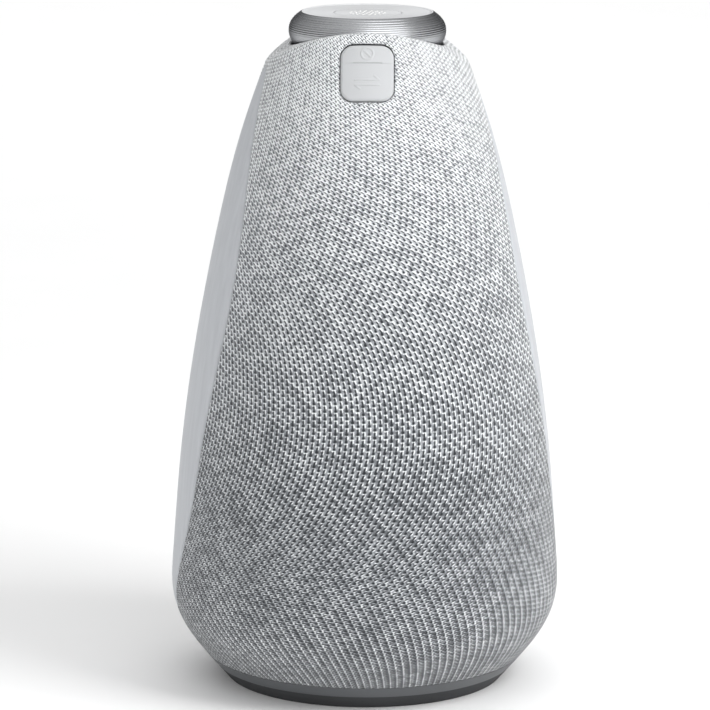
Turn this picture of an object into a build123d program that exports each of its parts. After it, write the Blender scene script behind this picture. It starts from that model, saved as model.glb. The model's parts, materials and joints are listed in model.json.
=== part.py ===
from build123d import *
from math import asin, cos, radians, sin
import os

os.makedirs("parts", exist_ok=True)

# A free-standing cone-shaped smart speaker, in millimetres.
# +Z is up and the origin is the centre of the foot's underside. The key pad faces -Y.

# ---------------------------------------------------------------- driving dimensions
TOTAL_HEIGHT = 240.0

# Half outline of the round body as (radius, height), from the foot to above the rim.
FLANK = [
    (49.9, 0.0),
    (54.4, 5.2),
    (59.4, 11.2),
    (65.0, 19.0),
    (69.0, 29.0),
    (69.3, 44.0),
    (66.3, 82.0),
    (59.7, 129.2),
    (52.4, 166.2),
    (44.2, 198.5),
    (37.9, 216.9),
    (29.7, 238.5),
]
RIDGE_HEIGHT = 235.8          # top of the barrel-shaped roof, whose ridge runs along Y
ARCH_RADIUS = 55.0
RIM_ROUNDING = 4.0
RIM_INNER = 0.6               # least rounding of the rim on an inner layer
FAR = 200.0                   # longer than the whole object, for cutting shapes

FOOT_TOP = 4.9
PAN_TOP = 9.0                 # the fabric starts here
CAP_SPLIT = 205.0             # the housings end and the top cap starts here

# Layers of the wall, as depths below the outer surface
FABRIC_DEPTH = 0.9
SHELL_OUT = 1.0
SHELL_IN = 3.4
PANEL_DEPTH = 1.6
POCKET_DEPTH = 1.7

# Side panels: two upright leaves on one axis, turned a little from the X axis
PANEL_TURN = 8.5
LEAF = [(10.4, 43.6), (17.4, 62.0), (22.4, 98.5), (24.8, 135.0), (20.6, 172.0), (9.2, 208.0)]
LEAF_BOTTOM = 25.0
LEAF_TOP = 221.0
PANEL_GAP = 0.35

# Dial and the well that it sits in
DIAL_RADIUS = 27.8
DIAL_BOTTOM = 228.5
DIAL_BOTTOM_RADIUS = 25.8
DIAL_WIDEST = 233.3
DIAL_FACE_RADIUS = 23.4
DIAL_WALL = 2.4
DIAL_DISH = 0.35
DIAL_GROOVES = 15
GROOVE_DEPTH = 0.16
HEM_IN = 28.4
HEM_DROP = 1.8                # the hem stops this far above the well's floor
WELL_RADIUS = 29.4
WELL_OUT = 31.2
CARRIER_FLOOR = 222.5
POST_RADIUS = 10.0
SHAFT_PLAY = 0.05
BUSH_OUT = 12.0
SLEEVE_OUT = 14.0
SLEEVE_BOTTOM = 226.0
POST_TOP = 234.0

# Key pad, laid out on a plane that is tangent to the flank
PAD_HEIGHT = 222.8
PAD_RADIUS = 35.65
PAD_TILT = 20.6
PAD_WIDTH = 18.8
PAD_BOTTOM = -10.0
PAD_SPLIT = 3.5
PAD_TOP = 10.0
PAD_CORNER = 4.6
PAD_GAP = 0.35
KEY_PROUD = 0.25
KEY_BACK = 1.3

# Woofer, firing down
BAFFLE_BOTTOM = 58.0
BAFFLE_TOP = 62.0
WOOFER_FLANGE = 52.0
WOOFER_HOLE = 46.5
WOOFER_SCREW_RADIUS = 49.2
CONE_RIM = 37.0
COIL_IN = 12.6
COIL_OUT = 13.0
CONE_NECK_Z = 78.0

# Tweeters, one each side of the front
TWEETER_ANGLE = 35.0
TWEETER_HEIGHT = 150.0
TWEETER_CUP = 17.0
TWEETER_BORE = 14.8


# ---------------------------------------------------------------- shared shapes
def body_form(depth, bottom=0.0, top=FAR * 2):
    """The whole outer form moved in by depth, kept between two heights."""
    arch_centre = RIDGE_HEIGHT - ARCH_RADIUS
    with BuildPart() as form:
        with BuildSketch(Plane.XZ):
            with BuildLine():
                flank = Spline(*[(radius - depth, height) for radius, height in FLANK])
                Polyline(flank @ 1, (0, FLANK[-1][1]), (0, 0), flank @ 0)
            make_face()
        revolve(axis=Axis.Z)
        with BuildSketch(Plane.XZ):
            with Locations((0, arch_centre)):
                Circle(ARCH_RADIUS - depth)
            with Locations((0, arch_centre / 2)):
                Rectangle(FAR, arch_centre)
        extrude(amount=FAR / 2, both=True, mode=Mode.INTERSECT)
        rim = form.edges().filter_by(lambda edge: edge.bounding_box().min.Z > CAP_SPLIT)
        fillet(rim.filter_by(lambda edge: edge.length > FAR / 2), max(RIM_ROUNDING - depth, RIM_INNER))
        if bottom > 0:
            split(bisect_by=Plane.XY.offset(bottom), keep=Keep.TOP)
        if top < FAR:
            split(bisect_by=Plane.XY.offset(top), keep=Keep.BOTTOM)
    return form.part


def ring(inner, outer, bottom, top):
    """A plain round ring on the Z axis."""
    with BuildPart() as part:
        with BuildSketch(Plane.XY.offset(bottom)):
            Circle(outer)
            if inner > 0:
                Circle(inner, mode=Mode.SUBTRACT)
        extrude(amount=top - bottom)
    return part.part


def turned(outline):
    """A solid turned about Z from a closed list of (radius, height) points."""
    with BuildPart() as part:
        with BuildSketch(Plane.XZ):
            with BuildLine():
                Polyline(*outline, close=True)
            make_face()
        revolve(axis=Axis.Z)
    return part.part


def radius_at(height):
    """Outer radius of the flank at a height, by straight lines between its points."""
    for (low_radius, low), (high_radius, high) in zip(FLANK, FLANK[1:]):
        if low <= height <= high:
            return low_radius + (high_radius - low_radius) * (height - low) / (high - low)
    return FLANK[-1][0]


def upright_plane(angle, distance=0.0, height=0.0):
    """A plane that faces out along a heading, with its second axis up."""
    out = Vector(cos(radians(angle)), sin(radians(angle)), 0)
    across = Vector(-sin(radians(angle)), cos(radians(angle)), 0)
    return Plane(origin=out * distance + Vector(0, 0, height), x_dir=across, z_dir=out)


def leaf_prism(angle, grow):
    """The leaf outline of a side panel, run outward from the axis."""
    with BuildPart() as part:
        with BuildSketch(upright_plane(angle)):
            with BuildLine():
                side = [(half + grow, height) for half, height in LEAF]
                tip = (0, LEAF_TOP + grow)
                heel = (0, LEAF_BOTTOM - grow)
                Spline(heel, *side, tip)
                Spline(heel, *[(-half, height) for half, height in side], tip)
            make_face()
        extrude(amount=FAR / 2)
    return part.part


pad_plane = Plane(
    origin=(0, -PAD_RADIUS, PAD_HEIGHT),
    x_dir=(1, 0, 0),
    z_dir=(0, -cos(radians(PAD_TILT)), sin(radians(PAD_TILT))),
)


def pad_prism(grow, low=PAD_BOTTOM, high=PAD_TOP):
    """The pad's rounded outline, or a band of it, run through the wall."""
    reach = 8.0
    with BuildPart() as part:
        with BuildSketch(pad_plane.offset(-reach)):
            with Locations((0, (PAD_BOTTOM + PAD_TOP) / 2)):
                RectangleRounded(PAD_WIDTH + 2 * grow, PAD_TOP - PAD_BOTTOM + 2 * grow, PAD_CORNER + grow)
            if (low, high) != (PAD_BOTTOM, PAD_TOP):
                with Locations((0, (low + high) / 2)):
                    Rectangle(PAD_WIDTH * 2, high - low, mode=Mode.INTERSECT)
        extrude(amount=2 * reach)
    return part.part


form_fabric_in = body_form(FABRIC_DEPTH, PAN_TOP)
form_shell_out = body_form(SHELL_OUT, PAN_TOP)
form_shell_in = body_form(SHELL_IN)
form_outer = body_form(0.0)
form_above_pan = body_form(0.0, PAN_TOP)
pad_opening = pad_prism(PAD_GAP)
leaf_headings = {"right": PANEL_TURN, "left": PANEL_TURN + 180}
leaf_openings = {side: leaf_prism(angle, PANEL_GAP) for side, angle in leaf_headings.items()}


def finish(part, name):
    """Label a finished piece and write it to its own file."""
    part.label = name
    export_step(part, f"parts/{name}.step")


# ---------------------------------------------------------------- fabric sleeve
hem = ring(HEM_IN, WELL_RADIUS - 0.1, CARRIER_FLOOR + HEM_DROP, RIDGE_HEIGHT) & form_outer

with BuildPart() as fabric_sleeve:
    add(form_above_pan)
    add(form_fabric_in, mode=Mode.SUBTRACT)
    add(ring(0, WELL_RADIUS - 0.1, CAP_SPLIT, TOTAL_HEIGHT), mode=Mode.SUBTRACT)
    add(hem)
    add(pad_opening, mode=Mode.SUBTRACT)
    for opening in leaf_openings.values():
        add(opening, mode=Mode.SUBTRACT)
finish(fabric_sleeve.part, "fabric_sleeve")

# ---------------------------------------------------------------- side panels
TAB_HEIGHTS = (84.0, 112.0, 140.0, 168.0)
TAB_ACROSS = 10.0
TAB_WIDTH = 5.0
TAB_THICK = 2.0
TAB_REACH = 5.0               # depth that the tabs reach below the outer surface
HOLE_PLAY = 0.3

form_panel_in = body_form(PANEL_DEPTH)
form_tab_end = body_form(TAB_REACH)


def clip_tabs(angle, play):
    """Eight flat tabs behind a side panel, or with play the slots that they enter."""
    with BuildPart() as part:
        with BuildSketch(upright_plane(angle)):
            for height in TAB_HEIGHTS:
                with Locations((-TAB_ACROSS, height), (TAB_ACROSS, height)):
                    Rectangle(TAB_WIDTH + 2 * play, TAB_THICK + 2 * play)
        extrude(amount=FAR / 2)
    return part.part


for side, angle in leaf_headings.items():
    leaf = leaf_prism(angle, 0.0)
    tabs = (clip_tabs(angle, 0.0) & form_panel_in) - form_tab_end
    with BuildPart() as side_panel:
        add(form_outer)
        add(form_panel_in, mode=Mode.SUBTRACT)
        add(leaf, mode=Mode.INTERSECT)
        add(tabs)
    finish(side_panel.part, f"side_panel_{side}")

# ---------------------------------------------------------------- front and rear housings
SCREW_HEIGHTS = (70.0, 124.0, 176.0)
SCREW_ACROSS = 7.0
SCREW_SHANK = 1.2
SCREW_HEAD = 2.2
SCREW_PLAY = 0.2
HEAD_TOP_DEPTH = 2.0
HEAD_BOTTOM_DEPTH = 2.9
HOLE_DEPTH = 5.0
SCREW_END_DEPTH = 10.0
SLOT_WIDTH = 3.0
OUTLET_LOW = 18.0
OUTLET_HIGH = 42.0
OUTLET_HEADINGS = [15 * step for step in range(24)]
TWEETER_SLOT_HALF = 13.0


def wall_plane(angle, across, height, depth):
    """A plane parallel to the wall beside a side panel's middle line, at a depth below the surface."""
    radius = radius_at(height)
    heading = radians(angle) + asin(across / radius)
    lean = (radius_at(height - 1) - radius_at(height + 1)) / 2
    surface = Vector(radius * cos(heading), radius * sin(heading), height)
    out = Vector(cos(heading), sin(heading), lean).normalized()
    return Plane(origin=surface - out * depth, z_dir=out)


def side_bars(angle, radius, deep, shallow):
    """Six round bars square to the wall under a side panel, three for each housing half."""
    with BuildPart() as part:
        for height in SCREW_HEIGHTS:
            for across in (-SCREW_ACROSS, SCREW_ACROSS):
                with BuildSketch(wall_plane(angle, across, height, deep)):
                    Circle(radius)
                extrude(amount=deep - shallow)
    return part.part


def sound_slots(headings, low, high, width):
    """Upright slots cut through the wall at the given headings."""
    with BuildPart() as part:
        for heading in headings:
            with BuildSketch(upright_plane(heading, 30.0)):
                with Locations((0, (low + high) / 2)):
                    Rectangle(width, high - low)
            extrude(amount=FAR / 4)
    return part.part


form_pocket_in = body_form(POCKET_DEPTH)
seam_plane = upright_plane(PANEL_TURN - 90)
front_headings = [h for h in OUTLET_HEADINGS if 22 < (h - PANEL_TURN - 180) % 360 < 158]
rear_headings = [h for h in OUTLET_HEADINGS if 22 < (h - PANEL_TURN) % 360 < 158]
tweeter_headings = []
for side_sign in (-1, 1):
    centre = 270 + side_sign * TWEETER_ANGLE
    tweeter_headings += [centre + 6 * step for step in range(-2, 3)]

with BuildPart() as housing_blank:
    add(form_shell_out)
    add(form_shell_in, mode=Mode.SUBTRACT)
    split(bisect_by=Plane.XY.offset(CAP_SPLIT), keep=Keep.BOTTOM)
    for side, angle in leaf_headings.items():
        pocket = (leaf_openings[side] & form_outer) - form_pocket_in
        add(pocket, mode=Mode.SUBTRACT)
        add(clip_tabs(angle, HOLE_PLAY), mode=Mode.SUBTRACT)
        add(side_bars(angle, SCREW_SHANK + SCREW_PLAY, HOLE_DEPTH, 0), mode=Mode.SUBTRACT)
        add(side_bars(angle, SCREW_HEAD + SCREW_PLAY, HEAD_BOTTOM_DEPTH, 0), mode=Mode.SUBTRACT)

with BuildPart() as front_housing:
    add(housing_blank.part)
    split(bisect_by=seam_plane, keep=Keep.TOP)
    add(sound_slots(front_headings, OUTLET_LOW, OUTLET_HIGH, SLOT_WIDTH), mode=Mode.SUBTRACT)
    add(
        sound_slots(
            tweeter_headings,
            TWEETER_HEIGHT - TWEETER_SLOT_HALF,
            TWEETER_HEIGHT + TWEETER_SLOT_HALF,
            SLOT_WIDTH,
        ),
        mode=Mode.SUBTRACT,
    )
finish(front_housing.part, "front_housing")

with BuildPart() as rear_housing:
    add(housing_blank.part)
    split(bisect_by=seam_plane, keep=Keep.BOTTOM)
    add(sound_slots(rear_headings, OUTLET_LOW, OUTLET_HIGH, SLOT_WIDTH), mode=Mode.SUBTRACT)
finish(rear_housing.part, "rear_housing")

# ---------------------------------------------------------------- top cap
LEDGE_IN = 25.0
LEDGE_BOTTOM = 217.6
LEDGE_TOP = 219.9
SPIGOT_DROP = 5.0
SPIGOT_WALL = 1.6
CARRIER_SCREWS = 3
CARRIER_SCREW_RADIUS = 26.8
PAD_POCKET = 2.6

form_spigot_out = body_form(SHELL_IN + 0.15)
form_spigot_in = body_form(SHELL_IN + 0.15 + SPIGOT_WALL)
form_pad_floor = body_form(PAD_POCKET)
well_tube = ring(WELL_RADIUS, WELL_OUT, LEDGE_BOTTOM, RIDGE_HEIGHT) & form_shell_out
spigot = (form_spigot_out & ring(0, FAR / 2, CAP_SPLIT - SPIGOT_DROP, CAP_SPLIT + 6)) - form_spigot_in
spigot_root = (form_shell_out & ring(0, FAR / 2, CAP_SPLIT + 2, CAP_SPLIT + 6)) - form_spigot_in
pad_pocket = pad_opening - form_pad_floor

with BuildPart() as top_cap:
    add(form_shell_out)
    add(form_shell_in, mode=Mode.SUBTRACT)
    split(bisect_by=Plane.XY.offset(CAP_SPLIT), keep=Keep.TOP)
    add(spigot)
    add(spigot_root)
    add(ring(0, WELL_RADIUS, LEDGE_TOP, TOTAL_HEIGHT), mode=Mode.SUBTRACT)
    add(well_tube)
    add(ring(LEDGE_IN, WELL_OUT, LEDGE_BOTTOM, LEDGE_TOP))
    add(pad_pocket, mode=Mode.SUBTRACT)
    for opening in leaf_openings.values():
        add((opening & form_outer) - form_pocket_in, mode=Mode.SUBTRACT)
    with BuildSketch(Plane.XY.offset(LEDGE_BOTTOM)):
        with PolarLocations(CARRIER_SCREW_RADIUS, CARRIER_SCREWS, start_angle=90):
            Circle(SCREW_SHANK)
    extrude(amount=LEDGE_TOP - LEDGE_BOTTOM, mode=Mode.SUBTRACT)
finish(top_cap.part, "top_cap")

# ---------------------------------------------------------------- base pan, foot and power inlet
PAN_FLOOR_TOP = 7.4
PAN_LIP_OUT = 53.2
PAN_LIP_IN = 51.0
PAN_LIP_TOP = 14.0
FOOT_IN = 40.0
FOOT_SCREW_RADIUS = 37.0
BAY_HALF = 8.0
BAY_FRONT = 20.0
BAY_BACK = 43.0
BAY_ROOF = 14.6
BAY_WALL = 1.6
CHANNEL_HALF = 4.5
JACK_FRONT = 10.0
JACK_RADIUS = 4.0
JACK_BORE = 2.85
JACK_WIDTH = 10.0
JACK_HEIGHT = 10.4

bay_outside = Pos(0, (BAY_FRONT + BAY_BACK) / 2, (FOOT_TOP + BAY_ROOF) / 2) * Box(
    2 * (BAY_HALF + BAY_WALL), BAY_BACK - BAY_FRONT + 2 * BAY_WALL, BAY_ROOF - FOOT_TOP + 2 * BAY_WALL
)
bay_inside = Pos(0, (BAY_FRONT + BAY_BACK) / 2, BAY_ROOF / 2) * Box(
    2 * BAY_HALF, BAY_BACK - BAY_FRONT, BAY_ROOF
)
jack_recess = Pos(0, (JACK_FRONT + BAY_FRONT) / 2 - BAY_WALL / 2, PAN_FLOOR_TOP) * Box(
    JACK_WIDTH + 0.6, BAY_FRONT - JACK_FRONT - BAY_WALL + 4, 2 * (PAN_FLOOR_TOP - FOOT_TOP - 1.2)
)
form_ring_band = body_form(0.0, FOOT_TOP, PAN_TOP)
base_skirt = form_ring_band - ring(0, FOOT_IN + 4, FOOT_TOP, PAN_TOP)

with BuildPart() as base_pan:
    add(base_skirt)
    add(ring(0, FOOT_IN + 6, FOOT_TOP, PAN_FLOOR_TOP))
    add(ring(PAN_LIP_IN, PAN_LIP_OUT, PAN_TOP - 1, PAN_LIP_TOP))
    add(bay_outside & ring(0, FAR / 2, FOOT_TOP, FAR))
    add(bay_inside, mode=Mode.SUBTRACT)
    add(jack_recess, mode=Mode.SUBTRACT)
    with BuildSketch(Plane.XZ.offset(-BAY_FRONT - 1)):
        with Locations((0, JACK_HEIGHT)):
            Circle(JACK_RADIUS + 0.1)
    extrude(amount=2 * BAY_WALL + 1, mode=Mode.SUBTRACT)
    with BuildSketch(Plane.XY.offset(FOOT_TOP)):
        with PolarLocations(FOOT_SCREW_RADIUS, 4, start_angle=45):
            Circle(SCREW_SHANK + SCREW_PLAY)
    extrude(amount=PAN_FLOOR_TOP - FOOT_TOP, mode=Mode.SUBTRACT)
finish(base_pan.part, "base_pan")

with BuildPart() as rubber_foot:
    add(body_form(0.0, 0.0, FOOT_TOP))
    add(ring(0, FOOT_IN, 0, FOOT_TOP), mode=Mode.SUBTRACT)
    with BuildSketch(Plane.XY):
        with Locations((0, FOOT_IN + 6)):
            Rectangle(2 * CHANNEL_HALF, 24)
        with Locations((0, BAY_BACK - 2)):
            Rectangle(2 * BAY_HALF, 4)
    extrude(amount=FOOT_TOP, mode=Mode.SUBTRACT)
finish(rubber_foot.part, "rubber_foot")

with BuildPart() as power_jack:
    with BuildSketch(Plane.XZ.offset(-BAY_FRONT)):
        with Locations((0, JACK_HEIGHT)):
            Circle(JACK_RADIUS)
    extrude(amount=BAY_FRONT - JACK_FRONT)
    with BuildSketch(Plane.XZ.offset(-JACK_FRONT - 1)):
        with Locations((0, JACK_HEIGHT + 0.3)):
            Rectangle(JACK_WIDTH, 8.6)
    extrude(amount=1)
    with BuildSketch(Plane.XZ.offset(-BAY_FRONT)):
        with Locations((0, JACK_HEIGHT)):
            Circle(JACK_BORE)
            Circle(1.0, mode=Mode.SUBTRACT)
    extrude(amount=BAY_FRONT - JACK_FRONT - 2, mode=Mode.SUBTRACT)
finish(power_jack.part, "power_jack")

# ---------------------------------------------------------------- power board and deflector
BOARD_THICK = 1.6
POWER_BOARD_Z = 17.5
POWER_BOARD_RADIUS = 45.0
DEFLECTOR_RIM = 50.0
DEFLECTOR_WALL = 2.0

with BuildPart() as power_board:
    add(ring(0, POWER_BOARD_RADIUS, POWER_BOARD_Z, POWER_BOARD_Z + BOARD_THICK))
    with BuildSketch(Plane.XY.offset(POWER_BOARD_Z)):
        with PolarLocations(FOOT_SCREW_RADIUS, 4, start_angle=45):
            Circle(SCREW_SHANK + SCREW_PLAY)
    extrude(amount=BOARD_THICK, mode=Mode.SUBTRACT)
finish(power_board.part, "power_board")

COMPONENT_Z = POWER_BOARD_Z + BOARD_THICK
with BuildPart() as transformer:
    with BuildSketch(Plane.XY.offset(COMPONENT_Z)):
        with Locations((-8, -4)):
            RectangleRounded(22, 20, 1.5)
    extrude(amount=4)
    with BuildSketch(Plane.XY.offset(COMPONENT_Z + 4)):
        with Locations((-8, -4)):
            RectangleRounded(16, 20, 1.5)
    extrude(amount=3)
    with BuildSketch(Plane.XY.offset(COMPONENT_Z + 7)):
        with Locations((-8, -4)):
            RectangleRounded(14, 12, 1.5)
    extrude(amount=2)
finish(transformer.part, "transformer")

with BuildPart() as capacitors:
    for x, y, radius, height in ((12, -9, 4.5, 7), (12, 3, 4.5, 7), (24, -4, 3.5, 4), (-25, 6, 3.5, 4)):
        with BuildSketch(Plane.XY.offset(COMPONENT_Z)):
            with Locations((x, y)):
                Circle(radius)
        extrude(amount=height)
finish(capacitors.part, "capacitors")

with BuildPart() as acoustic_deflector:
    with BuildSketch(Plane.XZ):
        with BuildLine():
            outside = ThreePointArc((DEFLECTOR_RIM, 22), (23, 32), (7, 49))
            Polyline(outside @ 1, (0, 49), (0, 45), (3, 45))
            inside = ThreePointArc((3, 45), (20, 29.6), (DEFLECTOR_RIM - DEFLECTOR_WALL, 20))
            Polyline(
                inside @ 1,
                (DEFLECTOR_RIM - DEFLECTOR_WALL, 15.6),
                (PAN_LIP_IN + 0.2, PAN_LIP_TOP),
                (PAN_LIP_OUT - 0.2, PAN_LIP_TOP),
                (PAN_LIP_OUT - 0.2, 16),
                (DEFLECTOR_RIM, 17),
                outside @ 0,
            )
        make_face()
    revolve(axis=Axis.Z)
finish(acoustic_deflector.part, "acoustic_deflector")

with BuildPart() as board_standoffs:
    with BuildSketch(Plane.XY.offset(PAN_FLOOR_TOP)):
        with PolarLocations(FOOT_SCREW_RADIUS, 4, start_angle=45):
            Circle(3.2)
            Circle(SCREW_SHANK, mode=Mode.SUBTRACT)
    extrude(amount=POWER_BOARD_Z - PAN_FLOOR_TOP)
finish(board_standoffs.part, "board_standoffs")

# ---------------------------------------------------------------- speaker enclosure
TUB_DEPTH = 5.2
TUB_WALL = 2.6
TUB_TOP = 184.0
LID_THICK = 3.0
GASKET_THICK = 1.2

form_tub_out = body_form(TUB_DEPTH, BAFFLE_BOTTOM, TUB_TOP)
form_tub_in = body_form(TUB_DEPTH + TUB_WALL, BAFFLE_TOP)


def tweeter_plane(side_sign, distance):
    """A plane square to a tweeter's own axis."""
    return upright_plane(270 + side_sign * TWEETER_ANGLE, distance, TWEETER_HEIGHT)


def tweeter_turn(side_sign, radius, near, far):
    """A round bar on a tweeter's axis between two distances from the body's axis."""
    with BuildPart() as part:
        with BuildSketch(tweeter_plane(side_sign, near)):
            Circle(radius)
        extrude(amount=far - near)
    return part.part


CUP_NEAR = 24.0
CUP_FLOOR = 26.5
tweeter_cups = [tweeter_turn(sign, TWEETER_CUP, CUP_NEAR, 70) & form_tub_out for sign in (-1, 1)]
tweeter_bores = [tweeter_turn(sign, TWEETER_BORE, CUP_FLOOR, 70) for sign in (-1, 1)]
POST_SIZE = 3.4
POST_END_DEPTH = 12.0
PILOT_END_DEPTH = SCREW_END_DEPTH + 0.5
screw_posts = [
    side_bars(angle, POST_SIZE, POST_END_DEPTH, 0) & form_tub_out for angle in leaf_headings.values()
]
screw_pilots = [
    side_bars(angle, SCREW_SHANK, PILOT_END_DEPTH, 0) for angle in leaf_headings.values()
]

with BuildPart() as enclosure_tub:
    add(form_tub_out)
    add(form_tub_in, mode=Mode.SUBTRACT)
    for post in screw_posts:
        add(post)
    for cup in tweeter_cups:
        add(cup)
    for bore in tweeter_bores:
        add(bore, mode=Mode.SUBTRACT)
    for pilot in screw_pilots:
        add(pilot, mode=Mode.SUBTRACT)
    with BuildSketch(Plane.XY.offset(BAFFLE_BOTTOM)):
        Circle(WOOFER_HOLE)
    extrude(amount=BAFFLE_TOP - BAFFLE_BOTTOM, mode=Mode.SUBTRACT)
finish(enclosure_tub.part.solids().sort_by(SortBy.VOLUME)[-1], "enclosure_tub")

with BuildPart() as lid_gasket:
    add(body_form(TUB_DEPTH + 0.4, TUB_TOP, TUB_TOP + GASKET_THICK))
    add(body_form(TUB_DEPTH + 2.2, TUB_TOP - 1, TUB_TOP + GASKET_THICK + 1), mode=Mode.SUBTRACT)
finish(lid_gasket.part, "lid_gasket")

LID_BOTTOM = TUB_TOP + GASKET_THICK
with BuildPart() as enclosure_lid:
    add(body_form(TUB_DEPTH, LID_BOTTOM, LID_BOTTOM + LID_THICK))
    with BuildSketch(Plane.XY.offset(LID_BOTTOM + LID_THICK)):
        with PolarLocations(30, 4, start_angle=45):
            Circle(3)
    extrude(amount=5)
finish(enclosure_lid.part, "enclosure_lid")

# ---------------------------------------------------------------- woofer
BASKET_NECK = 84.0
MAGNET_BOTTOM = 88.0
MAGNET_TOP = 104.0
MAGNET_RADIUS = 31.0
GAP_RADIUS = 13.5
POLE_RADIUS = 12.1

with BuildPart() as woofer_gasket:
    with BuildSketch(Plane.XY.offset(BAFFLE_BOTTOM - 0.8)):
        Circle(WOOFER_FLANGE - 0.5)
        Circle(WOOFER_HOLE + 0.5, mode=Mode.SUBTRACT)
        with PolarLocations(WOOFER_SCREW_RADIUS, 6):
            Circle(SCREW_SHANK + SCREW_PLAY, mode=Mode.SUBTRACT)
    extrude(amount=0.8)
finish(woofer_gasket.part, "woofer_gasket")

FLANGE_TOP = BAFFLE_BOTTOM - 0.8
FLANGE_BOTTOM = FLANGE_TOP - 2.0
with BuildPart() as woofer_basket:
    add(turned([
        (41.5, FLANGE_BOTTOM),
        (WOOFER_FLANGE, FLANGE_BOTTOM),
        (WOOFER_FLANGE, FLANGE_TOP),
        (45.8, FLANGE_TOP),
        (45.8, 63.0),
        (33.0, BASKET_NECK),
        (33.0, MAGNET_BOTTOM - 2),
        (31.4, MAGNET_BOTTOM - 2),
        (31.4, 82.6),
        (44.2, 61.8),
        (44.2, FLANGE_TOP),
        (41.5, FLANGE_TOP),
    ]))
    add(ring(20.0, 33.0, MAGNET_BOTTOM - 3.6, MAGNET_BOTTOM - 2))
    with BuildSketch(Plane.XY.offset(64.0)):
        with PolarLocations(42, 6, start_angle=30):
            RectangleRounded(24, 20, 3)
    extrude(amount=16, mode=Mode.SUBTRACT)
    with BuildSketch(Plane.XY.offset(FLANGE_BOTTOM)):
        with PolarLocations(WOOFER_SCREW_RADIUS, 6):
            Circle(SCREW_SHANK + SCREW_PLAY)
    extrude(amount=FLANGE_TOP - FLANGE_BOTTOM, mode=Mode.SUBTRACT)
finish(woofer_basket.part, "woofer_basket")

with BuildPart() as front_pole_plate:
    add(ring(GAP_RADIUS, MAGNET_RADIUS - 1, MAGNET_BOTTOM - 2, MAGNET_BOTTOM + 1))
finish(front_pole_plate.part, "front_pole_plate")

with BuildPart() as woofer_magnet:
    add(ring(17.0, MAGNET_RADIUS, MAGNET_BOTTOM + 1, MAGNET_TOP))
finish(woofer_magnet.part, "woofer_magnet")

with BuildPart() as woofer_yoke:
    add(ring(0, MAGNET_RADIUS - 1, MAGNET_TOP, MAGNET_TOP + 3))
    add(ring(0, POLE_RADIUS, MAGNET_BOTTOM - 2, MAGNET_TOP))
    add(ring(0, 4.0, MAGNET_BOTTOM - 3, MAGNET_TOP + 4), mode=Mode.SUBTRACT)
finish(woofer_yoke.part, "woofer_yoke")

CONE_THICK = 0.8
with BuildPart() as woofer_cone:
    add(turned([
        (CONE_RIM, FLANGE_BOTTOM + 0.4),
        (CONE_RIM, FLANGE_BOTTOM + 0.4 + CONE_THICK),
        (24.0, 66.0 + CONE_THICK),
        (COIL_OUT, CONE_NECK_Z + CONE_THICK),
        (COIL_OUT, MAGNET_BOTTOM + 3),
        (COIL_IN, MAGNET_BOTTOM + 3),
        (COIL_IN, CONE_NECK_Z - 1.5),
        (24.0, 66.0),
    ]))
finish(woofer_cone.part, "woofer_cone")

DUST_CAP_SPHERE = 41.7
DUST_CAP_LOW = 67.4
DUST_CAP_RADIUS = 17.3
with BuildPart() as dust_cap:
    with Locations((0, 0, DUST_CAP_LOW + DUST_CAP_SPHERE)):
        Sphere(DUST_CAP_SPHERE)
        Sphere(DUST_CAP_SPHERE - 0.8, mode=Mode.SUBTRACT)
    add(ring(0, DUST_CAP_RADIUS, DUST_CAP_LOW - 1, DUST_CAP_LOW + 8), mode=Mode.INTERSECT)
finish(dust_cap.part, "dust_cap")

ROLL_INNER = CONE_RIM + 0.3
ROLL_OUTER = 41.2
ROLL_MIDDLE = (ROLL_INNER + ROLL_OUTER) / 2
ROLL_WALL = 0.9
ROLL_TOP = 55.8
ROLL_LIP = 55.0
ROLL_CREST_OUTSIDE = 52.6
ROLL_CREST_INSIDE = 53.5

with BuildPart() as woofer_surround:
    with BuildSketch(Plane.XZ):
        with BuildLine():
            inner_wall = ROLL_INNER + ROLL_WALL
            outer_wall = ROLL_OUTER - ROLL_WALL
            Polyline((inner_wall, ROLL_LIP), (inner_wall, ROLL_TOP), (ROLL_INNER, ROLL_TOP), (ROLL_INNER, ROLL_LIP))
            ThreePointArc((ROLL_INNER, ROLL_LIP), (ROLL_MIDDLE, ROLL_CREST_OUTSIDE), (ROLL_OUTER, ROLL_LIP))
            Polyline((ROLL_OUTER, ROLL_LIP), (ROLL_OUTER, ROLL_TOP), (outer_wall, ROLL_TOP), (outer_wall, ROLL_LIP))
            ThreePointArc((outer_wall, ROLL_LIP), (ROLL_MIDDLE, ROLL_CREST_INSIDE), (inner_wall, ROLL_LIP))
        make_face()
    revolve(axis=Axis.Z)
finish(woofer_surround.part, "woofer_surround")

with BuildPart() as woofer_spider:
    add(turned([
        (COIL_OUT + 0.4, 83.0),
        (16.5, 82.2),
        (20.0, 83.0),
        (23.5, 82.2),
        (27.0, 83.0),
        (31.0, 83.0),
        (31.0, 83.6),
        (27.0, 83.6),
        (23.5, 82.8),
        (20.0, 83.6),
        (16.5, 82.8),
        (COIL_OUT + 0.4, 83.6),
    ]))
finish(woofer_spider.part, "woofer_spider")

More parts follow.
